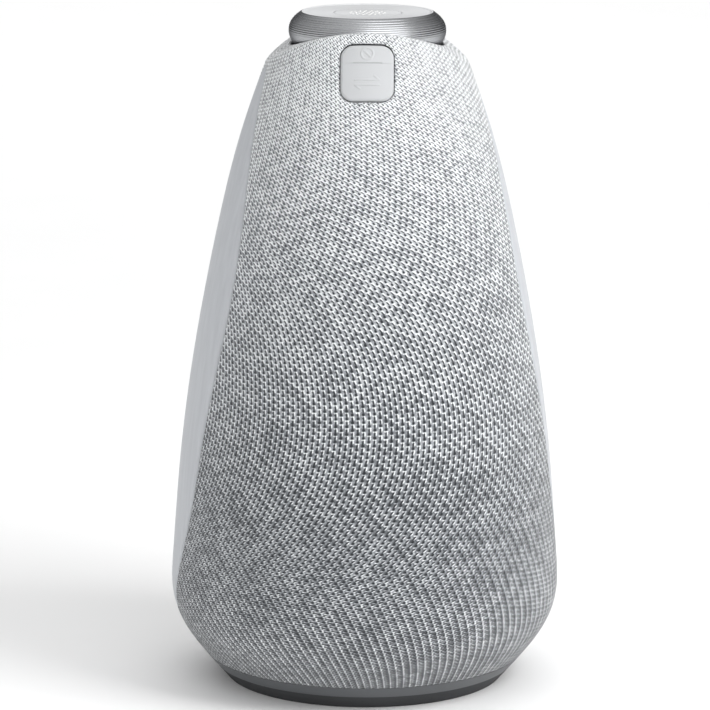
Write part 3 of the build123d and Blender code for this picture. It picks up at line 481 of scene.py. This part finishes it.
def board_material():
    """Solder-masked board with copper runs just visible under the mask."""
    n = MaterialNodes("circuit_board")
    brick = n.add("ShaderNodeTexBrick")
    n.put(brick.inputs["Vector"], n.place())
    brick.inputs["Scale"].default_value = 260
    brick.inputs["Color1"].default_value = (0.012, 0.075, 0.032, 1)
    brick.inputs["Color2"].default_value = (0.016, 0.095, 0.040, 1)
    brick.inputs["Mortar"].default_value = (0.03, 0.15, 0.07, 1)
    return n.finish(Base_Color=brick.outputs["Color"], Roughness=0.4,
                    Normal=n.bump(brick.outputs["Fac"], 0.03 * MM, 0.5))


slot_materials = {
    "panel_grey": satin_panel_material(),
    "pan_grey": plastic("pan_satin", (0.100, 0.106, 0.113), 0.42, spread=0.04),
    "foot_rubber": plastic("foot_rubber", (0.036, 0.038, 0.041), 0.72, 0.05, 1500.0, 0.15),
    # Painted shade: the dial's side is a darker copy of the same turned aluminium as its lighter face.
    "dial_metal": turned_metal_material(
        "turned_side_shaded", (0.48, 0.49, 0.505), (0.62, 0.63, 0.65), 0.20, edge=0.10),
    "key_soft": plastic("key_soft", (0.49, 0.50, 0.512), 0.62, 0.03, 3000.0, 0.03),
    "black_plastic": plastic("black_plastic", (0.028, 0.028, 0.031), 0.5, 0.04, 1800.0, 0.15),
    "white_plastic": plastic("white_plastic", (0.80, 0.80, 0.78), 0.4),
    "board_green": board_material(),
    "chip_black": plastic("chip_black", (0.03, 0.03, 0.035), 0.55, 0.03, 2200.0),
    "steel": metal("zinc_steel", (0.55, 0.55, 0.57)),
    "tin": metal("tinned_sheet", (0.66, 0.66, 0.66), 0.3),
    "heat_alu": metal("extruded_aluminium", (0.62, 0.63, 0.65), 0.42),
    "brass": metal("brass", (0.72, 0.52, 0.24), 0.3),
    "ferrite": plastic("ferrite", (0.06, 0.06, 0.065), 0.65, 0.06, 1200.0, 0.2),
    "paper_black": plastic("paper_cone", (0.03, 0.03, 0.03), 0.8, 0.08, 900.0, 0.25),
    "spider_cloth": cloth("spider_cloth", (0.45, 0.30, 0.12)),
    "foam_black": plastic("foam_black", (0.035, 0.035, 0.035), 0.9, 0.1, 700.0, 0.2),
    "knit_fabric": knit_material(),
}
slot_of = {part["node"]: part["material_slot"] for part in frame["record"]["subparts"]}
for node, thing in frame["nodes"].items():
    thing.data.materials.clear()
    thing.data.materials.append(slot_materials[slot_of[node]])


def dress(piece, body, slot, *nodes):
    """Gives a new piece its body and its slot's material, and hides the frame's nodes that it stands for."""
    piece.data.materials.append(slot_materials[slot])
    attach(piece, body)
    if nodes:
        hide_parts(*nodes)
    return piece


# ---------------------------------------------------------------- knit sleeve
SLEEVE_COLUMNS = 520
SLEEVE_ROWS = 270
EDGE_ROLL = 0.9               # the knit turns in over this width at every cut edge
EDGE_TUCK = 1.0
ROLL_DEPTH = 0.45
SNAP_REACH = 1.4              # vertices this near to a cut edge are moved onto it
LOW_EDGE_WIDTH = 1.2
LOW_EDGE_DEPTH = 0.12
KNIT_SCALE = 0.985


def leaf_frame(points, angle):
    """Distance across a side panel from its middle line, and whether a point is on its side."""
    c, s = math.cos(angle), math.sin(angle)
    across = -points[:, 0] * s + points[:, 1] * c
    outward = points[:, 0] * c + points[:, 1] * s
    return across, outward > 0


PAD_OUT = np.array([0, -math.cos(PAD_TILT), math.sin(PAD_TILT)])
PAD_RISE = np.array([0, math.sin(PAD_TILT), math.cos(PAD_TILT)])
PAD_CENTRE = np.array([0, -PAD_RADIUS, PAD_HEIGHT])


def pad_frame(points):
    """A point's place on the key pad's plane: across, up it, and out of it."""
    away = points - PAD_CENTRE
    return away[:, 0], away @ PAD_RISE, away @ PAD_OUT


def leaf_outline(grow=0.0, steps=700):
    """A side panel's closed outline as (across, height)."""
    turn = np.linspace(0, math.pi, steps)
    heights = (LEAF_BOTTOM + LEAF_TOP) / 2 - (LEAF_TOP - LEAF_BOTTOM) / 2 * np.cos(turn)
    halves = leaf_half(heights)
    line = np.column_stack((halves, heights))
    line = np.vstack((line, line[-2:0:-1] * (-1, 1)))
    if grow:
        following = np.roll(line, -1, axis=0) - np.roll(line, 1, axis=0)
        out = np.column_stack((following[:, 1], -following[:, 0]))
        line = line + grow * out / np.linalg.norm(out, axis=1, keepdims=True)
    return line


def pad_outline(grow=0.0, low=PAD_BOTTOM, high=PAD_TOP):
    """The pad's closed outline as (across, up)."""
    corner = PAD_CORNER + grow
    half = PAD_HALF_WIDTH + grow
    line = []
    for quarter in range(4):
        side = 1 if quarter in (0, 3) else -1
        end = 1 if quarter < 2 else -1
        middle = (side * (half - corner), high + grow - corner if end > 0 else low - grow + corner)
        for turn in np.linspace(quarter * 90, quarter * 90 + 90, 24):
            angle = math.radians(turn)
            line.append((middle[0] + corner * math.cos(angle), middle[1] + corner * math.sin(angle)))
    return np.array(line)


def signed_distance(places, outline):
    """Distance from an outline, negative inside, with the nearest point on it."""
    start, end = outline, np.roll(outline, -1, axis=0)
    nearest = np.full(len(places), np.inf)
    foot = np.zeros_like(places)
    inside = np.zeros(len(places), bool)
    for a, b in zip(start, end):
        run = b - a
        t = np.clip(((places - a) @ run) / (run @ run), 0, 1)
        point = a + t[:, None] * run
        gap = np.hypot(*(places - point).T)
        better = gap < nearest
        nearest[better] = gap[better]
        foot[better] = point[better]
        crosses = (a[1] > places[:, 1]) != (b[1] > places[:, 1])
        with np.errstate(divide="ignore", invalid="ignore"):
            at = a[0] + (places[:, 1] - a[1]) * run[0] / run[1]
        inside ^= crosses & (places[:, 0] < at)
    return np.where(inside, -nearest, nearest), foot


def build_sleeve():
    azimuths = np.linspace(-math.pi, math.pi, SLEEVE_COLUMNS + 1)
    shares = np.linspace(0, 1, SLEEVE_ROWS)
    vertices = np.zeros((SLEEVE_ROWS, SLEEVE_COLUMNS + 1, 3))
    normals = np.zeros_like(vertices)
    travel = np.zeros((SLEEVE_ROWS, SLEEVE_COLUMNS + 1))
    for column, azimuth in enumerate(azimuths):
        line = meridian(azimuth)
        length = np.concatenate(([0], np.cumsum(np.hypot(*np.diff(line, axis=0).T))))
        along = shares * length[-1]
        radius, height = (np.interp(along, length, line[:, k]) for k in (0, 1))
        travel[:, column] = along
        sine, cosine = math.sin(azimuth), math.cos(azimuth)
        vertices[:, column] = np.column_stack((radius * sine, -radius * cosine, height))
        rise = np.gradient(height, along)
        run = np.gradient(radius, along)
        normals[:, column] = np.column_stack((rise * sine, -rise * cosine, -run))
    columns = SLEEVE_COLUMNS + 1
    flat = vertices.reshape(-1, 3)
    outward = normals.reshape(-1, 3)
    azimuth_of = np.tile(azimuths, SLEEVE_ROWS)
    phases = np.column_stack(knit_phases(azimuth_of, travel.reshape(-1) * KNIT_SCALE + PAN_TOP))
    faces = np.array(grid_faces(SLEEVE_ROWS, columns))

    edge = np.full(len(flat), np.inf)
    gone = np.zeros(len(flat), bool)
    moved = flat.copy()
    outline = leaf_outline(PANEL_GAP)
    for angle in (math.radians(PANEL_TURN), math.radians(PANEL_TURN + 180)):
        across, beside = leaf_frame(flat, angle)
        near = beside & (np.abs(across) < 30)
        chosen = np.flatnonzero(near)
        places = np.column_stack((across[chosen], flat[chosen, 2]))
        distance, foot = signed_distance(places, outline)
        gone[chosen[distance < 0]] = True
        edge[chosen] = np.minimum(edge[chosen], np.abs(distance))
        snap = (distance < 0) & (distance > -SNAP_REACH)
        close = chosen[snap]
        targets = foot[snap]
        radius = flank_radius(np.clip(targets[:, 1], 0, 236))
        turn = angle + np.arcsin(np.clip(targets[:, 0] / radius, -1, 1))
        moved[close] = np.column_stack((radius * np.cos(turn), radius * np.sin(turn), targets[:, 1]))
    across, up, out = pad_frame(flat)
    near = (np.abs(across) < 16) & (np.abs(up) < 17) & (np.abs(out) < 8) & (flat[:, 1] < -29.5)
    chosen = np.flatnonzero(near)
    places = np.column_stack((across[chosen], up[chosen]))
    distance, foot = signed_distance(places, pad_outline(PAD_GAP))
    gone[chosen[distance < 0]] = True
    edge[chosen] = np.minimum(edge[chosen], np.abs(distance))
    snap = (distance < 0) & (distance > -SNAP_REACH)
    shift = foot[snap] - places[snap]
    moved[chosen[snap]] = flat[chosen[snap]] + shift[:, :1] * np.array([1, 0, 0]) + shift[:, 1:] * PAD_RISE

    kept = faces[~gone[faces].all(axis=1)]
    used = np.unique(kept)
    boundary = np.isin(np.arange(len(flat)), used) & gone
    edge[boundary] = 0
    roll = np.clip(1 - edge / EDGE_ROLL, 0, 1) ** 2 * ROLL_DEPTH
    moved -= outward * roll[:, None]
    low_edge = np.repeat(np.arange(SLEEVE_ROWS), columns) * (travel[-1].mean() / SLEEVE_ROWS)
    moved -= outward * (np.clip(1 - low_edge / LOW_EDGE_WIDTH, 0, 1) ** 2 * LOW_EDGE_DEPTH)[:, None]

    piece = new_mesh("knit_sleeve", moved, [tuple(f) for f in kept])
    layer = piece.data.uv_layers.new(name="knit")
    corner_vertex = np.zeros(len(piece.data.loops), int)
    piece.data.loops.foreach_get("vertex_index", corner_vertex)
    layer.data.foreach_set("uv", phases[corner_vertex].astype(np.float32).ravel())

    work = bmesh.new()
    work.from_mesh(piece.data)
    bmesh.ops.delete(work, geom=[v for v in work.verts if not v.link_faces], context="VERTS")
    work.verts.ensure_lookup_table()
    seam = [v for v in work.verts if abs(v.co.x) < 1e-6 and v.co.y > 0]
    bmesh.ops.remove_doubles(work, verts=seam, dist=1e-6)
    rim = [e for e in work.edges if e.is_boundary and e.verts[0].co.z < 0.2355 and (
        e.verts[0].co.to_2d().length > (HEM_RADIUS + 0.4) * MM)]
    made = bmesh.ops.extrude_edge_only(work, edges=rim)["geom"]
    for vertex in (g for g in made if isinstance(g, bmesh.types.BMVert)):
        inward = Vector((-vertex.co.x, -vertex.co.y, 0)).normalized()
        vertex.co += inward * EDGE_TUCK * MM
    for face in work.faces:
        face.smooth = True
    bmesh.ops.recalc_face_normals(work, faces=work.faces)
    work.to_mesh(piece.data)
    work.free()
    return dress(piece, "housing", "knit_fabric", "fabric_sleeve")


sleeve = build_sleeve()

# ---------------------------------------------------------------- side panels
def build_panel(side, angle):
    """A leaf on the body's form with a rounded edge and a turned-in rim."""
    rows, columns = 240, 56
    turn = np.linspace(0, math.pi, rows)
    heights = (LEAF_BOTTOM + LEAF_TOP) / 2 - (LEAF_TOP - LEAF_BOTTOM) / 2 * 0.999 * np.cos(turn)
    halves = leaf_half(heights)
    spread = np.sin(np.linspace(-math.pi / 2, math.pi / 2, columns))
    vertices = []
    for height, half in zip(heights, halves):
        radius = float(flank_radius(height))
        ends = min(height - LEAF_BOTTOM, LEAF_TOP - height)
        for share in spread:
            across = share * half
            gap = min(half - abs(across), ends * 0.5)
            depth = PANEL_EDGE * max(1 - gap / PANEL_EDGE, 0) ** 2
            bend = angle + math.asin(across / radius)
            r = radius - PANEL_SINK - depth
            vertices.append((r * math.cos(bend), r * math.sin(bend), height))
    piece = new_mesh(f"leaf_panel_{side}", vertices, grid_faces(rows, columns))
    work = bmesh.new()
    work.from_mesh(piece.data)
    bmesh.ops.remove_doubles(work, verts=work.verts, dist=2e-6)
    edges = [e for e in work.edges if e.is_boundary]
    made = bmesh.ops.extrude_edge_only(work, edges=edges)["geom"]
    inward = Vector((-math.cos(angle), -math.sin(angle), 0))
    for vertex in (g for g in made if isinstance(g, bmesh.types.BMVert)):
        vertex.co += inward * (PANEL_DEPTH - 0.8) * MM
    bmesh.ops.recalc_face_normals(work, faces=work.faces)
    work.to_mesh(piece.data)
    work.free()
    for polygon in piece.data.polygons:
        polygon.use_smooth = True
    return dress(piece, "housing", "panel_grey", f"side_panel_{side}")


build_panel("right", math.radians(PANEL_TURN))
build_panel("left", math.radians(PANEL_TURN + 180))

# ---------------------------------------------------------------- dial
STEPS_PER_GROOVE = 12


def face_height(radius):
    """Height of the dial's dished face at a radius."""
    return TOTAL_HEIGHT - DIAL_DISH - DIAL_HOLLOW * (1 - (radius / DIAL_FACE_RADIUS) ** 2)


def dial_outline():
    """The dial's side with rounded ridges between fine grooves, then its dished face."""
    steps = DIAL_GROOVES * STEPS_PER_GROOVE
    rise = TOTAL_HEIGHT - DIAL_BOTTOM
    line = [(DIAL_BOTTOM_RADIUS - 2.2, DIAL_BOTTOM + 0.1)]
    for step in range(steps + 1):
        t = step / steps
        height = DIAL_BOTTOM + rise * t
        above = max(height - DIAL_WIDEST, 0) / (TOTAL_HEIGHT - DIAL_WIDEST)
        below = max(DIAL_WIDEST - height, 0) / (DIAL_WIDEST - DIAL_BOTTOM)
        radius = DIAL_RADIUS - (DIAL_RADIUS - DIAL_FACE_RADIUS) * above**2.4
        radius -= (DIAL_RADIUS - DIAL_BOTTOM_RADIUS) * below**2
        strength = min(max((height - GROOVES_FULL_FROM) / 3.0, 0.18), 1.0)
        radius -= GROOVE_DEPTH * strength * (1 - abs(math.sin(math.pi * DIAL_GROOVES * t))) ** 1.5
        line.append((radius, height))
    for share in np.linspace(0.08, 1, 10):
        angle = share * math.pi / 2
        line.append((
            DIAL_FACE_RADIUS - GROOVE_DEPTH - DIAL_LIP * math.sin(angle),
            TOTAL_HEIGHT - DIAL_DISH * (1 - math.cos(angle)),
        ))
    for radius in np.linspace(DIAL_FACE_RADIUS - GROOVE_DEPTH - DIAL_LIP, TOUCH_RADIUS, 14)[1:]:
        line.append((radius, face_height(radius)))
    line.append((TOUCH_RADIUS, TOTAL_HEIGHT - DIAL_FACE_DEPTH))
    return line


dial = dress(turned("turned_dial", dial_outline(), 256), "dial", "dial_metal", "dial_ring")
# Painted light: the dial's face and the fixed middle get a lighter, half-metallic copy of the same aluminium
# as the darker side.
lit_face_metal = turned_metal_material("turned_face_lit", (0.80, 0.81, 0.825), (0.88, 0.89, 0.905), 0.34, 0.55)
dial.data.materials.append(lit_face_metal)
for polygon in dial.data.polygons:
    high = polygon.center.z > (TOTAL_HEIGHT - 0.9) * MM
    if high and polygon.center.to_2d().length < (DIAL_FACE_RADIUS - GROOVE_DEPTH) * MM:
        polygon.material_index = 1

face_line = [(TOUCH_RADIUS - TOUCH_GAP, TOTAL_HEIGHT - DIAL_FACE_DEPTH)]
for face_radius in np.linspace(TOUCH_RADIUS - TOUCH_GAP, 0.02, 14):
    face_line.append((face_radius, face_height(face_radius)))
middle = dress(turned("dial_middle", face_line, 128), "housing", "dial_metal", "touch_disc")
middle.data.materials[0] = lit_face_metal

# A cluster of light dots: a middle one and three rings of six, twelve and eighteen.
DOT_PITCH = 2.05
DOT_RADIUS = 0.36
DOT_FLATNESS = 0.35
DOT_TURN = 0.26
DOT_DROP = 0.40
dots = bmesh.new()
for ring_number in range(4):
    count = 6 * ring_number or 1
    for place in range(count):
        angle = 2 * math.pi * place / count + DOT_TURN
        centre = Vector((math.cos(angle), math.sin(angle), 0)) * DOT_PITCH * ring_number
        centre.z = TOTAL_HEIGHT - DIAL_DISH - DOT_DROP
        made = bmesh.ops.create_uvsphere(dots, u_segments=14, v_segments=8, radius=DOT_RADIUS)["verts"]
        for vertex in made:
            vertex.co.z *= DOT_FLATNESS
            vertex.co += centre
for vertex in dots.verts:
    vertex.co *= MM
for face in dots.faces:
    face.smooth = True
dot_mesh = bpy.data.meshes.new("light_dots")
dots.to_mesh(dot_mesh)
dots.free()
light_dots = bpy.data.objects.new("light_dots", dot_mesh)
bpy.context.scene.collection.objects.link(light_dots)
dress(light_dots, "housing", "white_plastic")

# ---------------------------------------------------------------- key pad
near_pad_heights = np.linspace(200, 238, 600)
near_pad_radii = flank_radius(near_pad_heights)


def pad_point(across, up, proud):
    """A point on the pad: over the body's form, proud of it along the pad's own axis."""
    base = PAD_CENTRE + np.array([1, 0, 0]) * across + PAD_RISE * up
    low, high = -6.0, 4.0
    for _ in range(24):
        middle = (low + high) / 2
        point = base + PAD_OUT * middle
        radius = float(np.interp(point[2], near_pad_heights, near_pad_radii))
        inside = math.hypot(point[0], point[1]) < radius and point[2] < RIDGE_HEIGHT
        low, high = (middle, high) if inside else (low, middle)
    return base + PAD_OUT * (low + proud)


def stroke_distance(place, strokes):
    """Distance from a point to the nearest stroke; a stroke is a list of points."""
    best = 9.0
    for stroke in strokes:
        for a, b in zip(stroke, stroke[1:]):
            run = np.subtract(b, a)
            t = min(max(float(np.subtract(place, a) @ run) / max(float(run @ run), 1e-9), 0), 1)
            best = min(best, float(np.hypot(*(np.subtract(place, a) - t * run))))
    return best


def arc(cx, cy, radius, first, last, steps=16):
    return [
        (cx + radius * math.cos(math.radians(a)), cy + radius * math.sin(math.radians(a)))
        for a in np.linspace(first, last, steps)
    ]


# Generic symbols: a struck-out circle on the upper key, two facing arrows on the lower one.
UPPER_SYMBOL = [arc(0, 6.8, 2.05, 0, 360, 28), [(-1.45, 8.25), (1.45, 5.35)]]
LOWER_SYMBOL = [
    [(-4.2, -2.4), (4.2, -2.4)], [(2.5, -1.0), (4.2, -2.4)],
    [(-4.2, -4.2), (4.2, -4.2)], [(-2.5, -5.6), (-4.2, -4.2)],
]
SEPARATOR_HALF = 4.8
SPLIT_GAP = 0.04              # between the two press zones, so that one can move without the other
KEY_CELL = 0.16
KEY_SHRINK = 0.2
KEY_EDGE_WIDTH = 0.8
KEY_EDGE_DROP = 0.55
KEY_SKIRT = 1.5
SYMBOL_RELIEF = 0.16
SYMBOL_HALF_WIDTH = 0.36
SYMBOL_SLOPE = 0.14
SEPARATOR_DEPTH = 0.22
SEPARATOR_HALF_WIDTH = 0.34


def build_key(name, key_body, low, high, symbol, node):
    """One press zone of the pad, its outer edge rounded, with a raised symbol."""
    columns = int(2 * PAD_HALF_WIDTH / KEY_CELL) + 1
    rows = int((high - low) / KEY_CELL) + 1
    outline = pad_outline(-KEY_SHRINK)
    line = np.linspace(-PAD_HALF_WIDTH, PAD_HALF_WIDTH, columns)
    places = np.array([(x, y) for y in np.linspace(low, high, rows) for x in line])
    distance, foot = signed_distance(places, outline)
    places[distance > 0] = foot[distance > 0]
    places[:, 1] = np.clip(places[:, 1], low, high)
    depth_in, _ = signed_distance(places, outline)
    vertices = []
    for (x, y), gap in zip(places, depth_in):
        inside = max(-gap, 0)
        proud = KEY_PROUD - KEY_EDGE_DROP * max(1 - inside / KEY_EDGE_WIDTH, 0) ** 2
        near_symbol = stroke_distance((x, y), symbol)
        proud += SYMBOL_RELIEF * min(max((SYMBOL_HALF_WIDTH - near_symbol) / SYMBOL_SLOPE, 0), 1)
        groove = math.hypot(max(abs(x) - SEPARATOR_HALF, 0), y - PAD_SPLIT)
        proud -= SEPARATOR_DEPTH * max(1 - (groove / SEPARATOR_HALF_WIDTH) ** 2, 0)
        vertices.append(pad_point(x, y, proud))
    piece = new_mesh(name, vertices, grid_faces(rows, columns))
    work = bmesh.new()
    work.from_mesh(piece.data)
    bmesh.ops.remove_doubles(work, verts=work.verts, dist=2e-6)
    rim = [e for e in work.edges if e.is_boundary]
    made = bmesh.ops.extrude_edge_only(work, edges=rim)["geom"]
    inward = -Vector(PAD_OUT)
    for vertex in (g for g in made if isinstance(g, bmesh.types.BMVert)):
        vertex.co += inward * KEY_SKIRT * MM
    bmesh.ops.recalc_face_normals(work, faces=work.faces)
    work.to_mesh(piece.data)
    work.free()
    for polygon in piece.data.polygons:
        polygon.use_smooth = True
    piece.data.materials.append(slot_materials["key_soft"])
    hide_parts(node)
    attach(piece, key_body)


build_key("pad_upper", "mute_key", PAD_SPLIT + SPLIT_GAP / 2, PAD_TOP, UPPER_SYMBOL, "key_mute")
build_key("pad_lower", "link_key", PAD_BOTTOM, PAD_SPLIT - SPLIT_GAP / 2, LOWER_SYMBOL, "key_link")

# ---------------------------------------------------------------- stage, lights and camera
FLOOR_HALF = 6.0
floor_mesh = bpy.data.meshes.new("floor")
corners = [(x * FLOOR_HALF, y * FLOOR_HALF, 0) for x, y in ((-1, -1), (1, -1), (1, 1), (-1, 1))]
floor_mesh.from_pydata(corners, [], [(0, 1, 2, 3)])
floor = bpy.data.objects.new("floor", floor_mesh)
bpy.context.scene.collection.objects.link(floor)
floor_nodes = MaterialNodes("floor_paper")
paper = floor_nodes.noise(floor_nodes.place(), 14.0, 2.0)
paper_tone = floor_nodes.ramp(paper, [(0.2, (0.95, 0.95, 0.95)), (0.8, (0.97, 0.97, 0.97))])
floor_mesh.materials.append(floor_nodes.finish(Base_Color=paper_tone, Roughness=0.8))

world = bpy.data.worlds.new("studio")
bpy.context.scene.world = world
world.use_nodes = True

# The studio is darkest low down, at the sides and behind on the right,
# and brightest overhead and in front on the right.
HORIZON_LEVEL = 0.34
OVERHEAD_LEVEL = 0.42
SIDE_LOSS = 0.62
GLOW_HEADING = (0.32, -0.87, 0.37)
GLOW_FOCUS = 6.0
GLOW_LEVEL = 0.80
SHADE_HEADING = (0.78, 0.62, 0.10)
SHADE_FOCUS = 5.0
SHADE_LOSS = 0.7
sky = Nodes(world.node_tree)
look = sky.add("ShaderNodeTexCoord").outputs["Generated"]
axes = sky.split(look)
overhead = sky.math("MAXIMUM", axes[2], 0.0)
sideways = sky.math("MULTIPLY", axes[0], axes[0])
glow = sky.math("POWER", sky.math("MAXIMUM", sky.dot(look, GLOW_HEADING), 0.0), GLOW_FOCUS)
level = sky.math("MULTIPLY_ADD", overhead, OVERHEAD_LEVEL, HORIZON_LEVEL)
level = sky.math("MULTIPLY", level, sky.math("MULTIPLY_ADD", sideways, -SIDE_LOSS, 1.0))
level = sky.math("MULTIPLY_ADD", glow, GLOW_LEVEL, level)
shadow_side = sky.math("POWER", sky.math("MAXIMUM", sky.dot(look, SHADE_HEADING), 0.0), SHADE_FOCUS)
level = sky.math("MULTIPLY", level, sky.math("MULTIPLY_ADD", shadow_side, -SHADE_LOSS, 1.0))
background = world.node_tree.nodes["Background"]
background.inputs[0].default_value = (1.0, 1.0, 1.0, 1)
sky.put(background.inputs[1], level)


def lamp(name, place, target, size, power, glossy=False):
    """A square soft light; a glossy one shows only in reflections, and the others never do."""
    light = bpy.data.lights.new(name, "AREA")
    light.shape = "SQUARE"
    light.size = size
    light.energy = power
    thing = bpy.data.objects.new(name, light)
    bpy.context.scene.collection.objects.link(thing)
    thing.location = place
    thing.rotation_euler = (Vector(target) - Vector(place)).to_track_quat("-Z", "Y").to_euler()
    thing.visible_camera = False
    thing.visible_glossy = glossy
    thing.visible_diffuse = not glossy


lamp("key_light", (0.60, -0.34, 0.70), (0, 0, 0.17), 0.46, 5.9)
lamp("fill_light", (-0.85, -0.55, 0.30), (0, 0, 0.04), 0.5, 1.8)
lamp("strip_light", (0.72, -1.22, 0.95), (0, 0, 0.2), 1.9, 20, glossy=True)
lamp("back_light", (0.0, 1.9, 1.6), (0, 1.9, 0), 2.8, 24)

camera_data = bpy.data.cameras.new("camera")
camera_data.sensor_width = 36.0
camera_data.lens = 204.8
camera_data.shift_x = -0.0151
camera_data.shift_y = -0.0025
camera = bpy.data.objects.new("camera", camera_data)
camera.location = (0.0, -1.4178, 0.4066)
CAMERA_PITCH = 78.457
CAMERA_ROLL = 0.3
camera.rotation_euler = (math.radians(CAMERA_PITCH), 0, 0)
camera.rotation_euler.rotate_axis("Z", math.radians(CAMERA_ROLL))
bpy.context.scene.collection.objects.link(camera)
bpy.context.scene.camera = camera
bpy.context.scene.view_settings.view_transform = "Standard"
